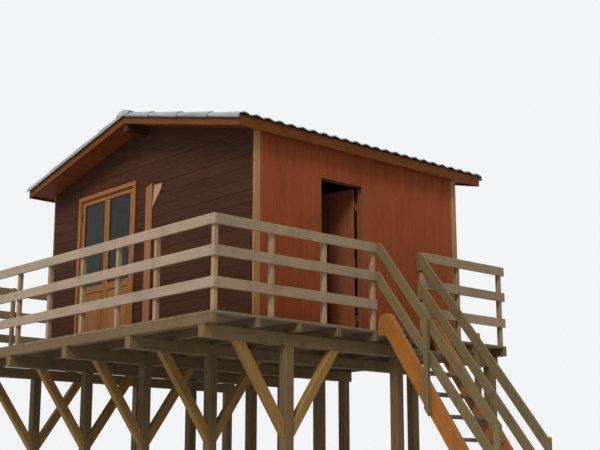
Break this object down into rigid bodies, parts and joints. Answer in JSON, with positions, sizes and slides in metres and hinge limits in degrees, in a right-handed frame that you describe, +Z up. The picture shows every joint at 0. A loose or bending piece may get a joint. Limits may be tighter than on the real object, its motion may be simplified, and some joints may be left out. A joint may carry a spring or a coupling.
{
  "type": "tree house",
  "caption": "Timber cabin on a raised platform on posts, with a railed balcony, glazed double doors, a shallow gable roof and a steep open stair.",
  "frame": {"origin": "on the ground under the middle of the overall box", "axes": "+X right along the balcony towards the stair, +Y back from the balcony into the cabin, +Z up"},
  "size_m": [7.7632, 5.067, 5.3425],
  "materials": {
    "frame_timber": "weathered sawn",
    "ridge_timber": "stained",
    "deck_boards": "weathered",
    "gable_boards": "dark stain",
    "red_boards": "red-brown stain",
    "varnished_wood": "satin varnish",
    "door_glass": "clear",
    "hinge_steel": "dull",
    "side_door_wood": "red-brown stain",
    "roof_boards": "stained",
    "roof_metal": "dull grey",
    "rail_boards": "weathered grey",
    "rail_posts": "weathered"
  },
  "bodies": {
    "tree_house": {"floor_beams": "frame_timber", "floor_joists": "frame_timber", "ground_posts": "frame_timber", "struts": "frame_timber", "ridge_beam": "ridge_timber", "walkway_deck": "deck_boards", "cabin_floor": "deck_boards", "stair_treads": "deck_boards", "front_wall_left": "gable_boards", "front_wall_right": "gable_boards", "front_wall_over_door": "gable_boards", "back_wall": "gable_boards", "right_wall_front": "red_boards", "right_wall_back": "red_boards", "right_wall_over_door": "red_boards", "left_wall": "red_boards", "front_door_frame": "varnished_wood", "front_door_casing": "varnished_wood", "barge_boards": "varnished_wood", "eave_boards": "varnished_wood", "stair_stringers": "varnished_wood", "front_door_hinge_posts": "hinge_steel", "side_door_hinge_posts": "hinge_steel", "side_door_frame": "side_door_wood", "roof_left_slope": "roof_boards", "roof_right_slope": "roof_boards", "roof_left_covering": "roof_metal", "roof_right_covering": "roof_metal", "ridge_cap": "roof_metal", "front_rails": "rail_boards", "side_rails": "rail_boards", "stair_rails": "rail_boards", "railing_posts": "rail_posts", "stair_posts": "rail_posts"},
    "left_leaf": {"left_leaf_frame": "varnished_wood", "left_leaf_panel": "varnished_wood", "left_leaf_glass": "door_glass", "left_leaf_hinges": "hinge_steel"},
    "right_leaf": {"right_leaf_frame": "varnished_wood", "right_leaf_panel": "varnished_wood", "right_leaf_glass": "door_glass", "right_leaf_hinges": "hinge_steel", "door_handle": "hinge_steel"},
    "side_door": {"side_door_leaf": "side_door_wood", "side_door_hinges": "hinge_steel"}
  },
  "joints": [
    {"name": "left_leaf_hinge", "type": "hinge", "parent": "tree_house", "child": "left_leaf", "pos_m": [-2.4416, -1.4419, 3.3], "axis": [0, 0, 1], "range_deg": [-90, 0]},
    {"name": "right_leaf_hinge", "type": "hinge", "parent": "tree_house", "child": "right_leaf", "pos_m": [-1.2066, -1.4419, 3.3], "axis": [0, 0, 1], "range_deg": [0, 90]},
    {"name": "side_door_hinge", "type": "hinge", "parent": "tree_house", "child": "side_door", "pos_m": [1.19, 0.3415, 3.3], "axis": [0, 0, 1], "range_deg": [-12, 78]}
  ]
}
